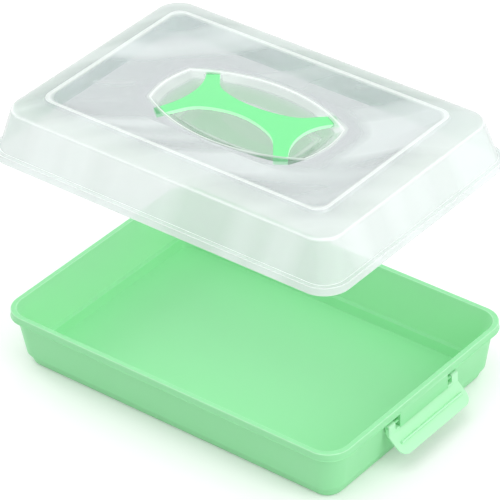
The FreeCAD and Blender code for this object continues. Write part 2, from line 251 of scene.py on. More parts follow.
class CakeBox(PropertyGroup):
    """All that a user would change."""

    tray: PointerProperty(type=TraySizes)
    lid: PointerProperty(type=LidSizes)
    handle: PointerProperty(type=HandleSizes)
    latch: PointerProperty(type=LatchSizes)
    finish: PointerProperty(type=Finishes)
    corner_steps: IntProperty(
        name="Corner steps", description="Strips around each corner of a moulding", default=24, min=4
    )
    round_steps: IntProperty(
        name="Round steps", description="Strips across each rounded edge", default=5, min=1
    )


class StageSettings(PropertyGroup):
    """The camera's place, the floor and the even light."""

    azimuth: angle_property("Azimuth", "Direction the camera looks from", 39.42)
    elevation: angle_property("Elevation", "Height angle the camera looks from", 34.44)
    roll: angle_property("Roll", "Turn of the camera about its own view", -2.06)
    distance: length_property("Distance", "Distance from the camera to the tray's middle", 3.72973)
    aim_right: length_property("Aim right", "How far right of the tray's middle the view aims", -0.00551)
    aim_up: length_property("Aim up", "How far above the tray's middle the view aims", 0.1253)
    lens: FloatProperty(name="Lens", description="Focal length", default=248.45, unit="CAMERA")
    ambient: share_property("Ambient", "Strength of the even light", 0.6)
    floor_size: length_property("Floor size", "Side of the floor", 24)
    floor_glow: share_property("Floor glow", "How much the floor's own white adds where it is seen", 0.16)


# Node trees


def fill_sockets(tree, node, inputs):
    """Sets a node's inputs, or links those that another node feeds."""
    for socket, value in inputs.items():
        if isinstance(value, bpy.types.NodeSocket):
            tree.links.new(value, node.inputs[socket])
        else:
            node.inputs[socket].default_value = value
    return node


def add_node(tree, kind, inputs=None, **settings):
    """Adds a node with its settings and inputs."""
    node = tree.nodes.new(kind)
    for setting, value in settings.items():
        setattr(node, setting, value)
    return fill_sockets(tree, node, inputs or {})


def calculate(tree, operation, *values):
    return add_node(tree, "ShaderNodeMath", dict(enumerate(values)), operation=operation).outputs[0]


def product(tree, first, *others):
    for other in others:
        first = calculate(tree, "MULTIPLY", first, other)
    return first


def ramp(tree, value, start, end):
    """0 where a value is at start, 1 where it is at end, and even in between."""
    sockets = {"Value": value, "From Min": start, "From Max": end}
    return add_node(tree, "ShaderNodeMapRange", sockets).outputs["Result"]


def noise(tree, place, size, detail):
    """Soft noise of a given size over the places of a surface."""
    scale = calculate(tree, "DIVIDE", 1, size)
    sockets = {"Vector": place, "Scale": scale, "Detail": detail}
    return add_node(tree, "ShaderNodeTexNoise", sockets).outputs["Fac"]


def pale_and_highlight_mark(tree):
    """How pale or milky a surface is, as its mesh says: painted highlights along edges, painted light on
    the tray's inner walls and the handle's sides, and the lid's milk.
    """
    return add_node(tree, "ShaderNodeAttribute", attribute_name="pale").outputs["Fac"]


def rays_of(tree, *kinds):
    """1 for the named kinds of ray and 0 for all others."""
    path = tree.nodes.new("ShaderNodeLightPath").outputs
    found = path[kinds[0]]
    for kind in kinds[1:]:
        found = calculate(tree, "MAXIMUM", found, path[kind])
    return found


def mix_colours(tree, share, first, second):
    # The colour sockets of a Mix node come after those for numbers and vectors
    sockets = {"Factor": share, 6: first, 7: second}
    return add_node(tree, "ShaderNodeMix", sockets, data_type="RGBA").outputs[2]


def mix_shaders(tree, share, first, second):
    return add_node(tree, "ShaderNodeMixShader", {"Fac": share, 1: first, 2: second}).outputs["Shader"]


def new_tree(name, kind, inputs, outputs):
    """A node group with named sockets, and its input and output sockets."""
    tree = bpy.data.node_groups.new(name, kind)
    for in_out, sockets in (("INPUT", inputs), ("OUTPUT", outputs)):
        for socket, socket_type in sockets.items():
            tree.interface.new_socket(socket, in_out=in_out, socket_type="NodeSocket" + socket_type)
    return tree, tree.nodes.new("NodeGroupInput").outputs, tree.nodes.new("NodeGroupOutput").inputs


def moulding_tree():
    """A tree that carries a profile around a rectangle with round corners.

    The profile is a line of points: X holds the inset from the outside, Y the corner radius in
    plan and Z the height. Its pale attribute says how pale or milky each point is, painted
    highlights and painted light included.
    """
    name = "Rounded moulding"
    if name in bpy.data.node_groups:
        return bpy.data.node_groups[name]
    inputs = {
        "Profile": "Geometry",
        "Length": "Float",
        "Width": "Float",
        "Corner Steps": "Int",
        "Material": "Material",
    }
    tree, given, result = new_tree(name, "GeometryNodeTree", inputs, {"Moulding": "Geometry"})
    size = add_node(
        tree, "GeometryNodeAttributeDomainSize", {"Geometry": given["Profile"]}, component="MESH"
    )
    rings = size.outputs["Point Count"]
    per_corner = calculate(tree, "ADD", given["Corner Steps"], 1)
    columns = calculate(tree, "MULTIPLY_ADD", per_corner, 4, 1)
    grid = add_node(tree, "GeometryNodeMeshGrid", {"Vertices X": columns, "Vertices Y": rings})

    index = add_node(tree, "GeometryNodeInputIndex").outputs[0]
    middle = calculate(tree, "ADD", index, 0.5)
    column = calculate(tree, "FLOOR", calculate(tree, "DIVIDE", middle, rings))
    ring = calculate(tree, "SUBTRACT", index, calculate(tree, "MULTIPLY", column, rings))
    column_middle = calculate(tree, "ADD", column, 0.5)
    quarter = calculate(tree, "FLOOR", calculate(tree, "DIVIDE", column_middle, per_corner))
    step = calculate(tree, "SUBTRACT", column, calculate(tree, "MULTIPLY", quarter, per_corner))
    share = calculate(tree, "DIVIDE", step, given["Corner Steps"])
    turn = calculate(tree, "MULTIPLY", calculate(tree, "ADD", quarter, share), quarter_turn)
    diagonal = calculate(tree, "MULTIPLY_ADD", quarter, quarter_turn, quarter_turn / 2)

    def on_profile(value, data_type):
        sockets = {"Geometry": given["Profile"], "Value": value, "Index": ring}
        return add_node(tree, "GeometryNodeSampleIndex", sockets, data_type=data_type).outputs["Value"]

    position = add_node(tree, "GeometryNodeInputPosition").outputs[0]
    place = on_profile(position, "FLOAT_VECTOR")
    inset, corner, height = add_node(tree, "ShaderNodeSeparateXYZ", {"Vector": place}).outputs
    spots = []
    for extent, circle in ((given["Length"], "COSINE"), (given["Width"], "SINE")):
        half = calculate(tree, "DIVIDE", extent, 2)
        reach = calculate(tree, "SUBTRACT", calculate(tree, "SUBTRACT", half, inset), corner)
        side = calculate(tree, "SIGN", calculate(tree, circle, diagonal))
        arm = calculate(tree, "MULTIPLY", corner, calculate(tree, circle, turn))
        spots.append(calculate(tree, "MULTIPLY_ADD", side, reach, arm))
    spot = add_node(tree, "ShaderNodeCombineXYZ", {"X": spots[0], "Y": spots[1], "Z": height})
    mark = add_node(tree, "GeometryNodeInputNamedAttribute", {"Name": "pale"}, data_type="FLOAT")
    marks = {"Name": "pale", "Value": on_profile(mark.outputs["Attribute"], "FLOAT")}

    # The grid is bent into the moulding, marked, welded along its seam and given its material
    shape = grid.outputs["Mesh"]
    for kind, sockets, settings in (
        ("SetPosition", {"Position": spot.outputs["Vector"]}, {}),
        ("StoreNamedAttribute", marks, {"data_type": "FLOAT", "domain": "POINT"}),
        ("MergeByDistance", {"Distance": weld_distance}, {}),
        ("RealizeInstances", {}, {}),
        ("SetMaterial", {"Material": given["Material"]}, {}),
    ):
        passed = add_node(tree, "GeometryNode" + kind, {"Geometry": shape, **sockets}, **settings)
        shape = passed.outputs["Geometry"]
    tree.links.new(shape, result["Moulding"])
    return tree


def set_input(modifier, name, value):
    """Sets a Geometry Nodes modifier's input, found by its socket's identifier."""
    for item in modifier.node_group.interface.items_tree:
        if item.item_type == "SOCKET" and item.in_out == "INPUT" and item.name == name:
            modifier[item.identifier] = value
            return
    raise KeyError(name)


# Meshes


def new_object(name, data):
    made = bpy.data.objects.new(name, data)
    bpy.context.scene.collection.objects.link(made)
    return made


def settle(made):
    """Turns what an object's modifiers make into its plain mesh."""
    depsgraph = bpy.context.evaluated_depsgraph_get()
    mesh = bpy.data.meshes.new_from_object(made.evaluated_get(depsgraph), depsgraph=depsgraph)
    made.modifiers.clear()
    made.data = mesh
    return made


def opened(mesh):
    bm = bmesh.new()
    bm.from_mesh(mesh)
    return bm


def write_back(bm, mesh):
    """Welds what meets, turns all faces outwards and returns the mesh."""
    bmesh.ops.remove_doubles(bm, verts=bm.verts[:], dist=weld_distance)
    bmesh.ops.recalc_face_normals(bm, faces=bm.faces[:])
    bm.to_mesh(mesh)
    bm.free()
    return mesh


def solid(name, bm):
    return new_object(name, write_back(bm, bpy.data.meshes.new(name)))


def in_fixed_order(bm):
    """The same mesh with its points and faces in an order that doesn't change from run to run."""
    spots = sorted(bm.verts, key=lambda vert: vert.co[:])
    ranks = {vert: rank for rank, vert in enumerate(spots)}
    loops = sorted([ranks[vert] for vert in face.verts] for face in bm.faces)
    ordered = bmesh.new()
    verts = [ordered.verts.new(spot.co) for spot in spots]
    for loop in loops:
        ordered.faces.new([verts[rank] for rank in loop])
    bm.free()
    return ordered


def finish_surface(made, material):
    """Gives a piece its one material and smooth shading, with the true corners kept sharp."""
    mesh = made.data
    bm = opened(mesh)
    bmesh.ops.dissolve_degenerate(bm, dist=weld_distance, edges=bm.edges[:])
    write_back(bm, mesh)
    mesh.materials.clear()
    mesh.materials.append(material)
    mesh.polygons.foreach_set("material_index", [0] * len(mesh.polygons))
    mesh.shade_smooth()
    mesh.set_sharp_from_angle(angle=sharp_angle)
    weighted = made.modifiers.new("Flat faces stay flat", "WEIGHTED_NORMAL")
    weighted.keep_sharp = True
    return settle(made)


def soften(made, width, segments=edge_strips):
    """Rounds all of a piece's sharp edges."""
    bevel = made.modifiers.new("Edge round", "BEVEL")
    bevel.width = width
    bevel.segments = segments
    bevel.limit_method = "ANGLE"
    bevel.angle_limit = sharp_angle
    return settle(made)


def combine(made, other, operation):
    """Joins another solid to a piece or cuts it away, and deletes that solid."""
    boolean = made.modifiers.new(operation, "BOOLEAN")
    boolean.operation = operation
    boolean.solver = "EXACT"
    boolean.object = other
    settle(made)
    bpy.data.objects.remove(other)
    return made


def prism(name, outline, reach):
    """A solid between a flat outline and the same outline moved by reach."""
    bm = bmesh.new()
    near = [bm.verts.new(spot) for spot in outline]
    far = [bm.verts.new(spot + reach) for spot in outline]
    bm.faces.new(near)
    bm.faces.new(far)
    for i in range(len(outline)):
        bm.faces.new((near[i - 1], near[i], far[i], far[i - 1]))
    return solid(name, bm)


def cylinder(name, radius, start, reach):
    """A round solid along Y from start."""
    sides = 24
    turns = [2 * half_turn * i / sides for i in range(sides)]
    outline = [start + Vector((math.cos(t), 0, math.sin(t))) * radius for t in turns]
    return prism(name, outline, Vector((0, reach, 0)))


def eased_profile(corners, steps, margin):
    """Rounds a profile's corners, each an inset, height, corner radius in plan, edge radius and mark.

    Returns points with the inset, plan corner and height, each with its edge's mark at the middle
    of the round, fading to 0 on the flats, which start a margin away from the edge. The mark sets
    the edge's painted highlight.
    """
    longest_round = 0.45
    longest_lead = 0.48
    spots = [Vector((inset, corner, height)) for inset, height, corner, _, _ in corners]
    points = [(spots[0], 0)]
    for i in range(1, len(corners) - 1):
        spot = spots[i]
        radius, edge_mark = corners[i][3:]
        if not radius:
            points.append((spot, 0))
            continue
        back = spots[i - 1] - spot
        ahead = spots[i + 1] - spot
        back_run = math.hypot(back.x, back.z)
        ahead_run = math.hypot(ahead.x, ahead.z)
        cosine = (back.x * ahead.x + back.z * ahead.z) / (back_run * ahead_run)
        opening = math.acos(max(-1, min(1, cosine)))
        reach = min(radius / math.tan(opening / 2), back_run * longest_round, ahead_run * longest_round)
        first = spot + back * (reach / back_run)
        last = spot + ahead * (reach / ahead_run)
        lead = min(reach + margin, back_run * longest_lead)
        trail = min(reach + margin, ahead_run * longest_lead)
        points.append((spot + back * (lead / back_run), 0))
        for share in even_shares(steps):
            points.append((arc_point(first, spot, last, share), edge_mark * math.sin(half_turn * share)))
        points.append((spot + ahead * (trail / ahead_run), 0))
    points.append((spots[-1], 0))
    return points


def even_shares(steps):
    """Shares from 0 to 1 in even steps."""
    return [step / steps for step in range(steps + 1)]


def arc_point(first, corner, last, share):
    """A point on the round curve that leaves first and reaches last along the corner's two sides."""
    half_opening = (first - corner).angle(last - corner) / 2
    weight = math.sin(half_opening)
    near = (1 - share) ** 2
    bend = 2 * share * (1 - share) * weight
    far = share ** 2
    return (first * near + corner * bend + last * far) / (near + bend + far)


def moulding(name, points, length, width, steps, material):
    """Carries a profile around a rectangle with round corners; its two ends stay open."""
    profile = bpy.data.meshes.new(name)
    links = [(i, i + 1) for i in range(len(points) - 1)]
    profile.from_pydata([spot for spot, _ in points], links, [])
    marks = profile.attributes.new("pale", "FLOAT", "POINT")
    marks.data.foreach_set("value", [mark for _, mark in points])
    made = new_object(name, profile)
    modifier = made.modifiers.new("Rounded moulding", "NODES")
    modifier.node_group = moulding_tree()
    set_input(modifier, "Length", length)
    set_input(modifier, "Width", width)
    set_input(modifier, "Corner Steps", steps)
    set_input(modifier, "Material", material)
    return settle(made)


def open_loops(bm):
    """The open edges of a mesh as closed loops of points, the highest loop last."""
    waiting = [edge for edge in bm.edges if edge.is_boundary]
    loops = []
    while waiting:
        edge = waiting.pop()
        loop = [edge.verts[0], edge.verts[1]]
        while True:
            following = [e for e in loop[-1].link_edges if e in waiting]
            if not following:
                break
            waiting.remove(following[0])
            loop.append(following[0].other_vert(loop[-1]))
        loops.append(loop[:-1] if loop[0] == loop[-1] else loop)
    return sorted(loops, key=lambda loop: loop[0].co.z)


# Finishes


def surface_group():
    """Colour, glow, roughness and height of a moulding: fine grain, slow flow, and paler, glowing edges
    that are painted highlights.
    """
    name = "Moulded surface"
    if name in bpy.data.node_groups:
        return bpy.data.node_groups[name]
    inputs = {
        "Colour": "Color",
        "Edge Highlight Colour": "Color",
        "Edge Highlight Share": "Float",
        "Highlight Glow Share": "Float",
        "Roughness": "Float",
        "Roughness Spread": "Float",
        "Grain Size": "Float",
        "Flow Size": "Float",
        "Flow Share": "Float",
    }
    outputs = {"Colour": "Color", "Glow": "Color", "Roughness": "Float", "Height": "Float"}
    tree, given, result = new_tree(name, "ShaderNodeTree", inputs, outputs)
    place = add_node(tree, "ShaderNodeTexCoord").outputs["Object"]
    grain = noise(tree, place, given["Grain Size"], detail=2)
    flow = noise(tree, place, given["Flow Size"], detail=1)
    mark = pale_and_highlight_mark(tree)
    # Marked edges are mixed towards the edge colour: a painted highlight
    paler = product(tree, mark, given["Edge Highlight Share"])
    tree.links.new(mix_colours(tree, paler, given["Colour"], given["Edge Highlight Colour"]), result["Colour"])
    # The glow, a painted highlight, keeps to the crest of a rounded edge
    crest_power = 4
    crest = calculate(tree, "POWER", mark, crest_power)
    highlight_glow_share = product(tree, crest, given["Highlight Glow Share"])
    tree.links.new(mix_colours(tree, highlight_glow_share, black, given["Edge Highlight Colour"]), result["Glow"])
    noise_middle = 0.5
    spread = calculate(tree, "SUBTRACT", flow, noise_middle)
    rough = calculate(tree, "MULTIPLY_ADD", spread, given["Roughness Spread"], given["Roughness"])
    tree.links.new(rough, result["Roughness"])
    height = calculate(tree, "MULTIPLY_ADD", flow, given["Flow Share"], grain)
    tree.links.new(height, result["Height"])
    return tree


def moulded_material(name, values, bump_strength, bump_depth):
    """A material with the moulded surface in it, with its shader, surface and bump nodes."""
    material = bpy.data.materials.new(name)
    material.use_nodes = True
    tree = material.node_tree
    surface = add_node(tree, "ShaderNodeGroup", values, node_tree=surface_group())
    relief = {"Strength": bump_strength, "Distance": bump_depth, "Height": surface.outputs["Height"]}
    bump = add_node(tree, "ShaderNodeBump", relief)
    sockets = {
        "Base Color": surface.outputs["Colour"],
        "Emission Color": surface.outputs["Glow"],
        "Emission Strength": 1,
        "Roughness": surface.outputs["Roughness"],
        "Normal": bump.outputs["Normal"],
    }
    shader = fill_sockets(tree, tree.nodes["Principled BSDF"], sockets)
    return material, shader, surface, bump


def mint_material(name, colour, finish, painted_edge_glow=0):
    """Mint plastic that lets a little light in, with painted highlights: paler along its moulded edges
    and glowing at their crests by the edge glow.
    """
    values = {
        "Colour": (*colour, 1),
        "Edge Highlight Colour": (*finish.edge_highlight_colour, 1),
        "Edge Highlight Share": 0.55,
        "Highlight Glow Share": painted_edge_glow,
        "Roughness": 0.38,
        "Roughness Spread": 0.12,
        "Grain Size": finish.grain_size,
        "Flow Size": finish.flow_size,
        "Flow Share": 0,
    }
    material, shader, _, _ = moulded_material(name, values, bump_strength=0.05, bump_depth=0.0002)
    plastic = {
        "IOR": 1.49,
        "Subsurface Weight": 0.12,
        "Subsurface Radius": (0.6, 1.0, 0.7),
        "Subsurface Scale": 0.003,
    }
    fill_sockets(material.node_tree, shader, plastic)
    return material


def lid_reflection_streaks(tree, finish, place):
    """Soft streaks of painted reflection across the lid's panel, 0 beside them and 1 in their middle."""
    along = {
        "Vector": place,
        "Location": finish.streak_place,
        "Rotation": (0, 0, -finish.streak_angle),
        "Scale": finish.streak_size,
    }
    stretched = add_node(tree, "ShaderNodeMapping", along, vector_type="TEXTURE").outputs["Vector"]
    streak_edge = 0.42
    streak_middle = 0.62
    return ramp(tree, noise(tree, stretched, size=1, detail=0), streak_edge, streak_middle)


def lid_see_through(tree, finish, lid, place, mark, beside_recess):
    """Tint of what is seen through the lid's panel, its milkier walls and the recess under its mouth,
    where the darker tint is painted shade.
    """
    panel_mark = 0.3
    side_mark = 0.55
    walls = ramp(tree, mark, panel_mark, side_mark)
    side = mix_colours(tree, walls, (*finish.lid_tint, 1), (*finish.wall_tint, 1))
    # Below the mouth the darker recess tint paints shade into the recess
    mouth = lid_high.z - lid.dish_depth - lid.mouth_round
    height = add_node(tree, "ShaderNodeSeparateXYZ", {"Vector": place}).outputs["Z"]
    depth = ramp(tree, height, mouth, mouth - lid.recess_depth / 2)
    inside = product(tree, depth, calculate(tree, "SUBTRACT", 1, beside_recess))
    return mix_colours(tree, inside, side, (*finish.recess_shade_tint, 1))


def lid_material(name, finish, lid):
    """Clear, slightly milky plastic: thin walls that veil what stands behind, with painted highlights
    that shine along edges and streaks of painted reflection.
    """
    # The lid's edges are paler and glow at their crests: painted highlights
    values = {
        "Colour": (*finish.lid_colour, 1),
        "Edge Highlight Colour": (*finish.lid_edge_highlight_colour, 1),
        "Edge Highlight Share": 1,
        "Highlight Glow Share": 0.4,
        "Roughness": 0.12,
        "Roughness Spread": 0.08,
        "Grain Size": finish.grain_size,
        "Flow Size": finish.flow_size,
        "Flow Share": 40,
    }
    material, shader, surface, bump = moulded_material(name, values, bump_strength=0.3, bump_depth=0.0001)
    tree = material.node_tree
    skin = bump.outputs["Normal"]
    mark = pale_and_highlight_mark(tree)
    place = add_node(tree, "ShaderNodeTexCoord").outputs["Object"]

    # The recess is the clearest part of the lid, so a low mark tells it apart
    recess_mark = 0.1
    clear_mark = 0.2
    beside_recess = ramp(tree, mark, recess_mark, clear_mark)
    tint = lid_see_through(tree, finish, lid, place, mark, beside_recess)
    clear = add_node(tree, "ShaderNodeBsdfTransparent", {"Color": tint})

    # The painted reflection streaks fade where the lid is milky and stay out of the recess
    clearness = calculate(tree, "SUBTRACT", 1, mark)
    streaks = product(tree, clearness, clearness, lid_reflection_streaks(tree, finish, place), beside_recess)
    # Marked edges are milkier: a painted highlight
    edges = product(tree, mark, finish.edge_highlight_milk)
    milk = calculate(tree, "MULTIPLY_ADD", streaks, finish.reflection_streak_milk, edges)
    # The streaks glow over the edges' glow: a painted reflection
    lift = product(tree, streaks, finish.reflection_streak_glow)
    glow_and_reflection = mix_colours(tree, lift, surface.outputs["Glow"], white)
    fill_sockets(tree, shader, {"Emission Color": glow_and_reflection, "Specular IOR Level": 0})
    glow = add_node(tree, "ShaderNodeBsdfTranslucent", {"Color": (*finish.lid_colour, 1)})
    milky = mix_shaders(tree, finish.lid_glow, shader.outputs[0], glow.outputs[0])
    veiled = mix_shaders(tree, milk, clear.outputs[0], milky)

    # The skin mirrors more the flatter it is looked along
    grazing_power = 5
    facing = add_node(tree, "ShaderNodeLayerWeight", {"Blend": 0.5, "Normal": skin}).outputs["Facing"]
    grazing = calculate(tree, "POWER", facing, grazing_power)
    shine = calculate(tree, "MULTIPLY_ADD", grazing, 1 - finish.lid_shine, finish.lid_shine)
    polish = {"Roughness": surface.outputs["Roughness"], "Normal": skin}
    gloss = add_node(tree, "ShaderNodeBsdfGlossy", polish)
    glossy = mix_shaders(tree, shine, veiled, gloss.outputs[0])

    # Lamp light passes to what stands below
    passed_light = (0.95, 0.95, 0.95, 1)
    lit = add_node(tree, "ShaderNodeBsdfTransparent", {"Color": passed_light})
    whole = mix_shaders(tree, rays_of(tree, "Is Shadow Ray"), glossy, lit.outputs[0])
    tree.links.new(whole, tree.nodes["Material Output"].inputs["Surface"])
    return material


def join_frame(made, body, node):
    """Puts a finished piece on its body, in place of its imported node."""
    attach(made, body)
    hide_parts(node)


# Tray


def wall_lean(tray):
    """How far the tray's wall leans in for each metre down from its top."""
    return (tray.step_inset - tray.rim_overhang) / (tray_high.z - tray.step_height)


def tray_profile(tray, steps):
    """The tray's wall from the middle of its underside, over the rim, to the middle of its floor."""
    top = tray_high.z
    wall = tray.wall
    rim_foot = top - tray.rim_drop
    rim_underside = top - tray.rim_thickness
    under_rim = tray.rim_overhang + wall_lean(tray) * tray.rim_thickness
    kerb_inset = tray.foot_inset + wall
    kerb_top = tray.floor + tray.kerb_rise
    kerb_edge = kerb_top + tray.kerb_slope
    base_run = 3 * tray.base_round
    lip_round = tray.rim_round / 4
    bead_round = tray.rim_round / 3
    # The marks below are painted highlights along the bead, the kerb and the rim's top edges
    bead_highlight = 0.5
    kerb_highlight = 0.4
    bead_x = -tray.bead_reach
    bead_corner = tray.rim_corner + tray.bead_reach
    bead_middle = rim_foot + tray.bead_height / 2
    corners = [
        (tray.base_inset + base_run, 0, tray.base_corner - base_run, 0, 0),
        (tray.base_inset, 0, tray.base_corner, tray.base_round, 0),
        (tray.foot_inset, tray.step_height - tray.step_drop, tray.foot_corner, tray.rim_round, 0),
        (tray.step_inset, tray.step_height, tray.step_corner, tray.base_round, 0),
        (under_rim, rim_underside, tray.wall_corner, tray.rim_round, 0),
        (wall, rim_underside, tray.rim_corner - wall, tray.rim_round, 0),
        (wall, rim_foot, tray.rim_corner - wall, lip_round, 0),
        (bead_x, rim_foot, bead_corner, bead_round, bead_highlight),
        (bead_x, bead_middle, bead_corner, bead_round, bead_highlight),
        (0, rim_foot + tray.bead_height, tray.rim_corner, bead_round, 0),
        (0, top, tray.rim_corner, tray.rim_round, 1),
        (tray.rim_overhang + wall, top, tray.wall_corner - wall, tray.rim_round, 1),
        (tray.step_inset + wall, kerb_edge, tray.step_corner - wall, tray.rim_round, 0),
        (kerb_inset, kerb_top, tray.foot_corner - wall, tray.rim_round, kerb_highlight),
        (kerb_inset + tray.kerb_run, tray.floor, tray.kerb_corner, tray.rim_round, 0),
        (kerb_inset + 2 * tray.kerb_run, tray.floor, tray.kerb_corner - tray.kerb_run, 0, 0),
    ]
    points = eased_profile(corners, steps, tray.rim_round / 2)
    return [(spot, max(mark, wall_light_mark(tray, spot))) for spot, mark in points]


def wall_light_mark(tray, spot):
    """How pale the walls are at a point of the profile: painted light on their inside, standing in for
    light that comes through.
    """
    outside = tray.rim_overhang + wall_lean(tray) * (tray_high.z - spot.z)
    kerb = tray.floor + tray.kerb_rise + tray.kerb_slope
    inside = spot.x > outside + tray.wall / 2 and kerb < spot.z < tray_high.z - tray.rim_round / 2
    return tray.wall_painted_light if inside else 0


def closed_flap(tray, latch):
    """Where the inner face and the foot of a closed latch lie."""
    return lid_high.x + latch.gap, tray_high.z - tray.rim_drop - latch.start_drop


def add_apron(made, tray, latch, side):
    """Adds the hinge carrier under the rim of one short side: a front plate, gussets and pins."""
    rim_x = tray_high.x - tray.bead_reach
    rim_foot = tray_high.z - tray.rim_drop
    inner, foot = closed_flap(tray, latch)
    reach = Vector((inner - hinge.x, 0, foot - hinge.z))
    open_foot = Matrix.Rotation(latch_swing, 3, "Y") @ reach + hinge
    bottom = open_foot.z + tray.stop_gap
    front_x = rim_x + tray.bead_reach
    half = tray.apron_width / 2
    wall_x = rim_x - tray.rim_overhang - wall_lean(tray) * (tray_high.z - bottom) - tray.wall / 2
    plate_x = rim_x - tray.wall
    plate_top = rim_foot + 3 * tray.bead_height

    def at(x, y, z):
        return Vector((side * x, side * y, z))

    front = [
        at(plate_x, -half, bottom),
        at(front_x, -half, bottom),
        at(front_x, -half, rim_foot + tray.bead_height),
        at(rim_x, -half, plate_top),
        at(plate_x, -half, plate_top),
    ]
    plate = prism("apron_plate", front, at(0, tray.apron_width, 0))
    combine(made, soften(plate, latch.edge_round), "UNION")
    gusset_front = front_x - tray.wall / 2
    gusset_top = rim_foot + tray.bead_height / 2
    for y in (-half, half - tray.gusset):
        outline = [
            at(wall_x, y, bottom),
            at(gusset_front, y, bottom),
            at(gusset_front, y, gusset_top),
            at(rim_x - tray.rim_overhang - tray.wall / 2, y, gusset_top),
        ]
        combine(made, prism("gusset", outline, at(0, tray.gusset, 0)), "UNION")
    pin_reach = latch.width / 2 - half + tray.gusset / 2
    for end in (-1, 1):
        start = at(hinge.x, end * (half - tray.gusset / 2), hinge.z)
        pin = cylinder("pin", tray.pin_radius, start, side * end * pin_reach)
        combine(made, pin, "UNION")


def build_tray(box):
    tray = box.tray
    rim_length = tray_high.x - tray_low.x - 2 * tray.bead_reach
    rim_width = tray_high.y - tray_low.y - 2 * tray.bead_reach
    material = mint_material("Mint tray", box.finish.tray_colour, box.finish)
    points = tray_profile(tray, box.round_steps)
    made = moulding("tray_moulding", points, rim_length, rim_width, box.corner_steps, material)
    bm = opened(made.data)
    for loop in open_loops(bm):
        bm.faces.new(loop)
    write_back(bm, made.data)
    for side in (1, -1):
        add_apron(made, tray, box.latch, side)
    finish_surface(made, material)
    join_frame(made, "tray", "tray")


# Lid


def dish_rings(lid, drop, steps):
    """The dished panel from its ridge down to its flat middle, lowered by drop for its underside."""
    start = lid.panel_inset + lid.panel_run + lid.ridge_width
    corner = lid.panel_corner - lid.panel_run - lid.ridge_width
    rings = []
    for share in even_shares(steps):
        inset = start + (lid.dish_inset - start) * share
        height = lid_high.z - drop - lid.dish_depth * (1 - (1 - share) ** 2)
        rings.append((inset, height, corner + (lid.dish_corner - corner) * share, 0, 0))
    return rings


def lid_profile(lid, steps):
    """The lid's wall from its dish's underside, around the skirt's edge, to the dish's middle."""
    base = lid_low.z
    top = lid_high.z
    ledge = base + lid.skirt_height
    shoulder = base + lid.shoulder_height
    step_foot = top - lid.panel_step
    panel_edge = lid.panel_inset + lid.panel_run
    edge_corner = lid.panel_corner - lid.panel_run
    wall = lid.wall
    dish_steps = 2 * steps
    ridge, *dish = dish_rings(lid, drop=0, steps=dish_steps)
    inner_shoulder = (lid.shoulder_corner - wall, lid.shoulder_round - wall)
    corners = [
        *reversed(dish_rings(lid, drop=wall, steps=dish_steps)),
        (panel_edge + wall, top - wall, edge_corner, lid.ridge_round / 4, 0),
        (lid.panel_inset + wall, step_foot - wall, lid.panel_corner, lid.ridge_round, 0),
        (lid.shoulder_inset + wall, shoulder - wall, *inner_shoulder, 0),
        (lid.ledge_width + wall, ledge - wall, lid.corner - lid.ledge_width - wall, lid.ledge_round, 0),
        (wall, ledge - wall, lid.corner - wall, lid.ledge_round / 2, 0),
        (wall, base, lid.corner - wall, lid.ledge_round / 2, 0),
        (0, base, lid.corner, lid.ledge_round / 2, 1),
        (0, ledge, lid.corner, lid.ledge_round, 1),
        (lid.ledge_width, ledge, lid.corner - lid.ledge_width, lid.ledge_round, 1),
        (lid.shoulder_inset, shoulder, lid.shoulder_corner, lid.shoulder_round, 1),
        (lid.panel_inset, step_foot, lid.panel_corner, lid.ridge_round, 0),
        (panel_edge, top, edge_corner, lid.ridge_round, 1),
        (*ridge[:3], 2 * lid.ridge_round, 1),
        *dish,
    ]
    ridge_top = top - wall / 4
    milky = []
    # Marked edges and the ridge are drawn milky white: painted highlights
    for spot, mark in eased_profile(corners, steps, lid.ledge_round / 2):
        crest = mark ** 2
        if spot.z > ridge_top:
            crest = max(crest, lid.ridge_highlight_milk)
        milky.append((spot, crest + (1 - crest) * milk_at(lid, spot)))
    return milky


def milk_at(lid, spot):
    """How milky the lid is away from its edges, at a point of its profile."""
    if spot.x > lid.panel_inset + lid.panel_run:
        return lid.panel_milk
    run = lid.panel_inset - lid.shoulder_inset
    share = max(0, min(1, (spot.x - lid.shoulder_inset - lid.wall) / run))
    return lid.wall_milk + (lid.band_milk - lid.wall_milk) * share


def bow(start, middle, end, shares):
    """Points at shares of the arc from start over middle to end, all flat vectors."""
    chord = (end - start) / 2
    rise = middle - (start + chord)
    if rise.length < weld_distance:
        return [start + (end - start) * share for share in shares]
    radius = (chord.length_squared + rise.length_squared) / (2 * rise.length)
    centre = middle - rise.normalized() * radius
    spread = math.asin(chord.length / radius)
    along = chord.normalized()
    up = rise.normalized()
    turns = [spread * (2 * share - 1) for share in shares]
    return [centre + along * (radius * math.sin(t)) + up * (radius * math.cos(t)) for t in turns]


def recess_quarter(lid, depth_share, spread, count):
    """A quarter of the grip recess in plan, from the middle of its end, past the corner, to its side."""
    mouth = (lid.recess_length, lid.recess_bulge, lid.recess_end, lid.recess_middle)
    well = (lid.well_length, lid.well_bulge, lid.well_end, lid.well_middle)
    length, bulge, end_width, middle_width = [
        a + (b - a) * depth_share for a, b in zip(mouth, well)
    ]
    x = length / 2 + spread
    y = end_width / 2 + spread
    corner = Vector((x, y))
    end_count = count // 4
    side_count = count - 1 - end_count
    end_shares = [0.5 + (i + 0.5) / (2 * end_count + 1) for i in range(end_count)]
    side_shares = [(i + 1) / (2 * side_count + 1) for i in range(side_count)]
    end_arc = bow(Vector((x, -y)), Vector((x + bulge, 0)), corner, end_shares)
    side_middle = Vector((0, middle_width / 2 + spread))
    side_arc = bow(corner, side_middle, Vector((-x, y)), side_shares)
    return end_arc + [corner] + side_arc


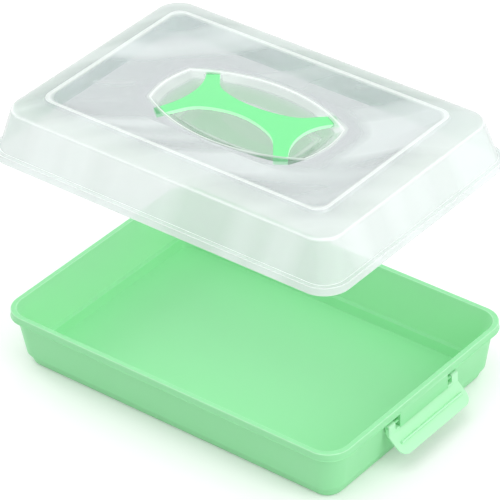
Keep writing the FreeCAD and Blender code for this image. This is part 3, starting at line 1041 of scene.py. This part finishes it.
def four_quarters(quarter):
    """A whole loop, anticlockwise, from the quarter that lies between +X and +Y."""
    loop = [Vector((p.x, p.y)) for p in quarter]
    loop += [Vector((-p.x, p.y)) for p in reversed(quarter)]
    loop += [Vector((-p.x, -p.y)) for p in quarter]
    loop += [Vector((p.x, -p.y)) for p in reversed(quarter)]
    return loop


def recess_states(lid, spread, drop, mark, steps):
    """Rings down the recess, with both edges rounded: depth share, spread and height, and milkiness,
    raised at the rounded edges as a painted highlight.
    """
    collar_share = 0.28
    collar_fade = 1.3
    mouth_reach = 1.5
    well_reach = 1.2
    well_highlight = 0.5
    depth = lid.recess_depth
    mouth = lid_high.z - lid.dish_depth
    top = mouth - drop
    bottom = mouth - depth - drop
    top_share = (mouth - top) / depth
    slope = Vector((1 - top_share, 0, bottom - top))
    edge = Vector((top_share, spread, top))
    foot = Vector((1, spread, bottom))
    out = Vector((0, lid.mouth_round, 0))
    back = Vector((0, lid.well_round, 0))
    mouth_share = lid.mouth_round / depth
    well_share = lid.well_round / depth
    rim = [edge + out, edge, edge + slope * mouth_share]
    well = [foot - slope * well_share, foot, foot - back]
    milk = lid.recess_milk
    collar = max(milk, mark * lid.collar_milk)

    def rounded(curve, least, crest):
        for share in even_shares(steps):
            yield bent(*curve, share), max(least, crest * math.sin(half_turn * share))

    return [
        (rim[0] + out, milk),
        *rounded(rim, collar, mark),
        (edge + slope * (mouth_reach * mouth_share), collar),
        (edge + slope * collar_share, collar),
        (edge + slope * collar_fade * collar_share, milk),
        (foot - slope * (well_reach * well_share), milk),
        *rounded(well, milk, mark * well_highlight),
        (well[2] - back, milk),
    ]


def bent(first, corner, last, share):
    """A point on the smooth curve from first to last that bends towards the corner."""
    return first * (1 - share) ** 2 + corner * (2 * share * (1 - share)) + last * share ** 2


def fill_recess(bm, loop, lid, spread, drop, mark, count, steps):
    """Closes an open loop of the lid's panel with the rings and floor of the grip recess.

    Spread widens the rings and drop lowers them, for the underside. Count is the number of points in
    a quarter of each ring.
    """
    marks = bm.verts.layers.float["pale"]
    ring = sorted(loop, key=lambda vert: math.atan2(vert.co.y, vert.co.x) % (2 * half_turn))
    for state, milk in recess_states(lid, spread, drop, mark, steps):
        following = []
        for spot in four_quarters(recess_quarter(lid, state.x, state.y, count)):
            vert = bm.verts.new((spot.x, spot.y, state.z))
            vert[marks] = milk
            following.append(vert)
        for i in range(len(ring)):
            bm.faces.new((ring[i - 1], ring[i], following[i], following[i - 1]))
        ring = following
    bm.faces.new(ring)


def build_lid(box):
    lid = box.lid
    length = lid_high.x - lid_low.x
    width = lid_high.y - lid_low.y
    material = lid_material("Clear lid", box.finish, lid)
    points = lid_profile(lid, box.round_steps)
    made = moulding("lid_moulding", points, length, width, box.corner_steps, material)
    bm = opened(made.data)
    underside, panel = open_loops(bm)
    # The mouth's mark paints a highlight around its rounded edge and sets the collar's milk
    mouth_mark = 1.15
    strips = {"count": box.corner_steps + 1, "steps": box.round_steps}
    fill_recess(bm, panel, lid, spread=0, drop=0, mark=mouth_mark, **strips)
    fill_recess(bm, underside, lid, spread=lid.recess_spread, drop=lid.wall, mark=0, **strips)
    write_back(bm, made.data)
    handle = box.handle
    outline = widened(handle_outline(box), handle.play)
    combine(made, domed_sheet("slots", outline, handle, lid, handle.play), "DIFFERENCE")
    finish_surface(made, material)
    join_frame(made, "lid", "lid")


# Handle


def handle_quarter(handle, steps):
    """A quarter of the handle in plan, from its hollowed end, around an arm, to its waist."""
    splay = handle.arm_splay
    outwards = Vector((math.sin(splay), math.cos(splay)))
    across = Vector((math.cos(splay), -math.sin(splay)))
    rise = (handle.flare_width - handle.waist) / 2
    flare = Vector((handle.flare_reach, handle.flare_width / 2))
    flare_turn = 2 * math.atan2(rise, handle.flare_reach)
    waist_radius = handle.flare_reach / math.sin(flare_turn)
    bend_centre = flare + Vector((-math.sin(flare_turn), math.cos(flare_turn))) * handle.bend_radius
    root = bend_centre + across * handle.bend_radius
    tip_inner = root + outwards * handle.arm_length
    tip_outer = tip_inner + across * handle.arm_width
    end = Vector((handle.end_length / 2, 0))
    end_radius = across.dot(end - tip_outer) / (1 - across.x)
    end_centre = end + Vector((end_radius, 0))

    shares = even_shares(steps)
    end_turns = [splay * share for share in shares[1:]]
    hollow = [end_centre + Vector((-math.cos(t), math.sin(t))) * end_radius for t in end_turns]
    bend_turns = [quarter_turn - splay + (flare_turn - quarter_turn + splay) * s for s in shares]
    bend = [bend_centre + Vector((math.sin(t), -math.cos(t))) * handle.bend_radius for t in bend_turns]
    waist_centre = Vector((0, handle.waist / 2 + waist_radius))
    waist_turns = [flare_turn * (1 - share) for share in shares[1:-1]]
    waist = [waist_centre + Vector((math.sin(t), -math.cos(t))) * waist_radius for t in waist_turns]
    return hollow + [tip_outer, tip_inner] + bend + waist


def handle_outline(box):
    return four_quarters(handle_quarter(box.handle, box.corner_steps // 2))


def widened(loop, distance):
    """An anticlockwise loop moved outwards by a distance."""
    moved = []
    for i, spot in enumerate(loop):
        before = (spot - loop[i - 1]).normalized()
        after = (loop[(i + 1) % len(loop)] - spot).normalized()
        square = Vector((before.y + after.y, -before.x - after.x)) / 2
        moved.append(spot + square * (distance / square.length_squared))
    return moved


def domed_sheet(name, outline, handle, lid, play):
    """A sheet of the handle's thickness that follows its shallow dome, grown by the play."""
    bm = bmesh.new()
    bm.faces.new([bm.verts.new((p.x, p.y, 0)) for p in outline])
    strips = 12
    for axis in (Vector((1, 0, 0)), Vector((0, 1, 0))):
        reach = max(p.to_3d().dot(axis) for p in outline)
        for i in range(1 - strips, strips):
            geometry = bm.verts[:] + bm.edges[:] + bm.faces[:]
            place = axis * (reach * i / strips)
            bmesh.ops.bisect_plane(bm, geom=geometry, plane_co=place, plane_no=axis)
    raised = bmesh.ops.extrude_face_region(bm, geom=bm.faces[:])["geom"]
    upper = {part for part in raised if isinstance(part, bmesh.types.BMVert)}
    centre = lid_high.z - lid.dish_depth + handle.rise - handle.dome_radius
    for vert in bm.verts:
        radius = handle.dome_radius + play
        if vert not in upper:
            radius = handle.dome_radius - handle.thickness - play
        vert.co.z = centre + math.sqrt(radius ** 2 - vert.co.x ** 2 - vert.co.y ** 2)
    return solid(name, in_fixed_order(bm))


def paint_lit_sides(made):
    """Marks a piece's side faces and rounded edges to be drawn paler than its top: painted light on its
    sides.
    """
    flattest_side = 0.9
    mesh = made.data
    marks = mesh.attributes.new("pale", "FLOAT", "FACE")
    marks.data.foreach_set("value", [float(abs(face.normal.z) < flattest_side) for face in mesh.polygons])


def build_handle(box):
    handle = box.handle
    made = domed_sheet("handle_moulding", handle_outline(box), handle, box.lid, play=0)
    soften(made, handle.edge_round)
    paint_lit_sides(made)
    material = mint_material("Mint handle", box.finish.handle_colour, box.finish, painted_edge_glow=0.35)
    finish_surface(made, material)
    join_frame(made, "lid", "lid_handle")


# Latches


def latch_flap(latch, inner, outer, foot):
    """The flat flap as it stands when closed, with round corners at its free edge."""
    half = latch.width / 2
    end = foot + latch.length
    steps = 8
    outline = [Vector((inner, -half, foot)), Vector((inner, half, foot))]
    for side, order in ((1, range(steps + 1)), (-1, range(steps, -1, -1))):
        for i in order:
            turn = quarter_turn * i / steps
            y = half - latch.corner + latch.corner * math.cos(turn)
            z = end - latch.corner + latch.corner * math.sin(turn)
            outline.append(Vector((inner, side * y, z)))
    return prism("flap", outline, Vector((outer - inner, 0, 0)))


def latch_ears(latch, tray, inner, outer, foot):
    """The knuckles on the pins, and the webs that carry them from the flap's foot."""
    half = latch.width / 2
    slit = tray.apron_width / 2 + latch.side_gap
    top = foot + latch.wall
    reach = Vector((outer - hinge.x, 0, foot - hinge.z)).normalized()
    square = Vector((-reach.z, 0, reach.x))
    low = hinge - square * latch.knuckle
    high = hinge + square * latch.knuckle
    heel = Vector((outer, 0, foot))
    turn_start = math.atan2(square.z, square.x)
    steps = 12
    turns = [turn_start + half_turn * i / steps for i in range(1, steps)]
    knuckle = [hinge + Vector((math.cos(t), 0, math.sin(t))) * latch.knuckle for t in turns]
    flap_outer = Vector((outer, 0, top))
    flap_inner = Vector((inner, 0, top))
    ear = [low, heel, flap_outer, flap_inner, high] + knuckle
    clear = 2 * latch.knuckle
    near_low = low + reach * clear
    near_high = high + (flap_inner - high).normalized() * clear
    web = [near_low, heel, flap_outer, flap_inner, near_high]
    ears = []
    for side in (1, -1):
        for outline, start in ((ear, half - latch.ear_width), (web, slit)):
            shift = Vector((0, side * start, 0))
            spots = [spot + shift for spot in outline]
            width = half - latch.edge_round / 2 - start
            ears.append(prism("ear", spots, Vector((0, side * width, 0))))
    return ears


def latch_hook(box, inner, outer):
    """The rib across the flap that snaps over the lid's ledge."""
    latch = box.latch
    closed_ledge = tray_high.z + box.lid.wall + box.lid.seat_gap
    swing = math.hypot(lid_high.x - hinge.x, closed_ledge - hinge.z) + latch.hook_gap
    root = (inner + outer) / 2 - hinge.x
    tip = inner - latch.hook_reach - hinge.x
    strips = 6
    under = []
    for i in range(strips + 1):
        x = root + (tip - root) * i / strips
        under.append(hinge + Vector((x, 0, math.sqrt(swing ** 2 - x ** 2))))
    top = under[0].z + latch.hook_height
    crown = under[-1].z + latch.hook_height / 2
    over = [Vector((under[-1].x, 0, crown)), Vector((inner, 0, top)), Vector((under[0].x, 0, top))]
    shift = Vector((0, -latch.hook_width / 2, 0))
    return prism("hook", [spot + shift for spot in under + over], Vector((0, latch.hook_width, 0)))


def build_latch(box, name, node, turn, material):
    """One latch, modelled closed, swung open about its pins and turned to its end of the box."""
    latch = box.latch
    inner, foot = closed_flap(box.tray, latch)
    outer = inner + latch.wall
    made = soften(latch_flap(latch, inner, outer, foot), latch.edge_round)
    for ear in latch_ears(latch, box.tray, inner, outer, foot):
        combine(made, soften(ear, latch.edge_round / 2, segments=2), "UNION")
    combine(made, soften(latch_hook(box, inner, outer), latch.hook_round), "UNION")
    start = Vector((hinge.x, -latch.width, hinge.z))
    combine(made, cylinder("bore", latch.bore, start, 2 * latch.width), "DIFFERENCE")
    swing = Matrix.Translation(hinge) @ Matrix.Rotation(latch_swing, 4, "Y") @ Matrix.Translation(-hinge)
    made.data.transform(Matrix.Rotation(turn, 4, "Z") @ swing)
    made.name = name
    made.data.name = name
    finish_surface(made, material)
    join_frame(made, node, node)


# Stage


def camera_axes(azimuth, elevation, roll):
    """The right, up and back directions of a camera that looks from an azimuth and an elevation."""
    back = Vector((
        math.sin(azimuth) * math.cos(elevation),
        -math.cos(azimuth) * math.cos(elevation),
        math.sin(elevation),
    ))
    level = Vector((math.cos(azimuth), math.sin(azimuth), 0))
    upright = back.cross(level)
    right = level * math.cos(roll) + upright * math.sin(roll)
    up = upright * math.cos(roll) - level * math.sin(roll)
    return right, up, back


def add_camera(settings):
    """The camera, aimed a little beside the tray's middle and rolled about its view."""
    right, up, back = camera_axes(settings.azimuth, settings.elevation, settings.roll)
    place = right * settings.aim_right + up * settings.aim_up + back * settings.distance
    camera = new_object("camera", bpy.data.cameras.new("camera"))
    camera.data.lens = settings.lens
    camera.matrix_world = Matrix.Translation(place) @ Matrix((right, up, back)).transposed().to_4x4()
    bpy.context.scene.camera = camera


def add_lamp(name, place, aim, size, radiance):
    """A soft lamp of an even brightness, turned to what it lights."""
    lamp = bpy.data.lights.new(name, "AREA")
    lamp.shape = "RECTANGLE"
    lamp.size, lamp.size_y = size
    lamp.energy = radiance * math.pi * size[0] * size[1]
    made = new_object(name, lamp)
    facing = (Vector(place) - aim).to_track_quat("Z", "Y").to_matrix().to_4x4()
    made.matrix_world = Matrix.Translation(place) @ facing
    made.visible_camera = False
    return made


def add_lamps():
    middle = Vector((0, 0, lid_low.z / 2))
    lid_foot = Vector((0, 0, lid_low.z))
    add_lamp("overhead", place=(0.3, -1.0, 3.0), aim=middle, size=(2.4, 2.4), radiance=1.5)
    add_lamp("right_key", place=(2.8, 0.2, 1.8), aim=middle, size=(2.0, 2.0), radiance=2.6)
    add_lamp("left_fill", place=(-3.0, 0.4, 1.5), aim=middle, size=(2.0, 2.0), radiance=2.0)
    back = add_lamp("back", place=(-1.0, 2.8, 0.9), aim=lid_foot, size=(2.4, 1.2), radiance=3.0)
    back.visible_glossy = False


def add_floor(settings):
    """A pale floor that keeps its shadows and is a little brighter where it is seen."""
    half = settings.floor_size / 2
    corners = [(-half, -half, 0), (half, -half, 0), (half, half, 0), (-half, half, 0)]
    mesh = bpy.data.meshes.new("floor")
    mesh.from_pydata(corners, [], [(0, 1, 2, 3)])
    floor = new_object("floor", mesh)
    material = bpy.data.materials.new("Pale floor")
    material.use_nodes = True
    tree = material.node_tree
    seen = rays_of(tree, "Is Camera Ray", "Is Glossy Ray", "Is Transmission Ray")
    sockets = {
        "Base Color": (0.9, 0.9, 0.9, 1),
        "Roughness": 0.9,
        "Specular IOR Level": 0,
        "Emission Color": white,
        "Emission Strength": product(tree, seen, settings.floor_glow),
    }
    fill_sockets(tree, tree.nodes["Principled BSDF"], sockets)
    mesh.materials.append(material)


def add_even_light(settings):
    """A white world that lights evenly and is plain white where it is seen."""
    world = bpy.data.worlds.new("Studio")
    world.use_nodes = True
    bpy.context.scene.world = world
    tree = world.node_tree
    seen = rays_of(tree, "Is Camera Ray", "Is Transmission Ray")
    strength = calculate(tree, "MULTIPLY_ADD", seen, 1 - settings.ambient, settings.ambient)
    fill_sockets(tree, tree.nodes["Background"], {"Color": white, "Strength": strength})


def build_stage(settings):
    bpy.context.scene.view_settings.view_transform = "Standard"
    add_floor(settings)
    add_even_light(settings)
    add_lamps()
    add_camera(settings)


# Operators


class CAKEBOX_OT_tray(Operator):
    """Builds the mint tray with its rim, stepped foot and hinge aprons"""

    bl_idname = "cakebox.tray"
    bl_label = "Build tray"

    def execute(self, context):
        build_tray(context.scene.cake_box)
        return {"FINISHED"}


class CAKEBOX_OT_lid(Operator):
    """Builds the clear lid with its grip recess"""

    bl_idname = "cakebox.lid"
    bl_label = "Build lid"

    def execute(self, context):
        build_lid(context.scene.cake_box)
        return {"FINISHED"}


class CAKEBOX_OT_handle(Operator):
    """Builds the four-armed handle in the lid's recess"""

    bl_idname = "cakebox.handle"
    bl_label = "Build handle"

    def execute(self, context):
        build_handle(context.scene.cake_box)
        return {"FINISHED"}


class CAKEBOX_OT_latches(Operator):
    """Builds the two side latches, swung open"""

    bl_idname = "cakebox.latches"
    bl_label = "Build latches"

    def execute(self, context):
        box = context.scene.cake_box
        material = mint_material("Mint latch", box.finish.latch_painted_light_colour, box.finish)
        build_latch(box, "right_latch_moulding", "right_latch", 0, material)
        build_latch(box, "left_latch_moulding", "left_latch", half_turn, material)
        return {"FINISHED"}


class CAKEBOX_OT_stage(Operator):
    """Sets up the pale floor, the soft light and the camera"""

    bl_idname = "cakebox.stage"
    bl_label = "Set stage"

    def execute(self, context):
        build_stage(context.scene.cake_box_stage)
        return {"FINISHED"}


class CAKEBOX_PT_sidebar(Panel):
    """Lists the pieces and what can be changed on them"""

    bl_idname = "CAKEBOX_PT_sidebar"
    bl_label = "Cake box"
    bl_space_type = "VIEW_3D"
    bl_region_type = "UI"
    bl_category = "Cake box"

    def draw(self, context):
        box = context.scene.cake_box
        groups = (
            (box.tray, CAKEBOX_OT_tray),
            (box.lid, CAKEBOX_OT_lid),
            (box.handle, CAKEBOX_OT_handle),
            (box.latch, CAKEBOX_OT_latches),
            (context.scene.cake_box_stage, CAKEBOX_OT_stage),
            (box.finish, None),
        )
        for group, operator in groups:
            column = self.layout.box().column()
            for name in group.bl_rna.properties.keys():
                if name not in {"rna_type", "name"}:
                    column.prop(group, name)
            if operator:
                column.operator(operator.bl_idname)


classes = (
    TraySizes,
    LidSizes,
    HandleSizes,
    LatchSizes,
    Finishes,
    CakeBox,
    StageSettings,
    CAKEBOX_OT_tray,
    CAKEBOX_OT_lid,
    CAKEBOX_OT_handle,
    CAKEBOX_OT_latches,
    CAKEBOX_OT_stage,
    CAKEBOX_PT_sidebar,
)


def register():
    for cls in classes:
        bpy.utils.register_class(cls)
    bpy.types.Scene.cake_box = PointerProperty(type=CakeBox)
    bpy.types.Scene.cake_box_stage = PointerProperty(type=StageSettings)


def unregister():
    del bpy.types.Scene.cake_box_stage
    del bpy.types.Scene.cake_box
    for cls in reversed(classes):
        bpy.utils.unregister_class(cls)


def main():
    register()
    bpy.ops.cakebox.tray()
    bpy.ops.cakebox.lid()
    bpy.ops.cakebox.handle()
    bpy.ops.cakebox.latches()
    bpy.ops.cakebox.stage()


if __name__ == "__main__":
    main()
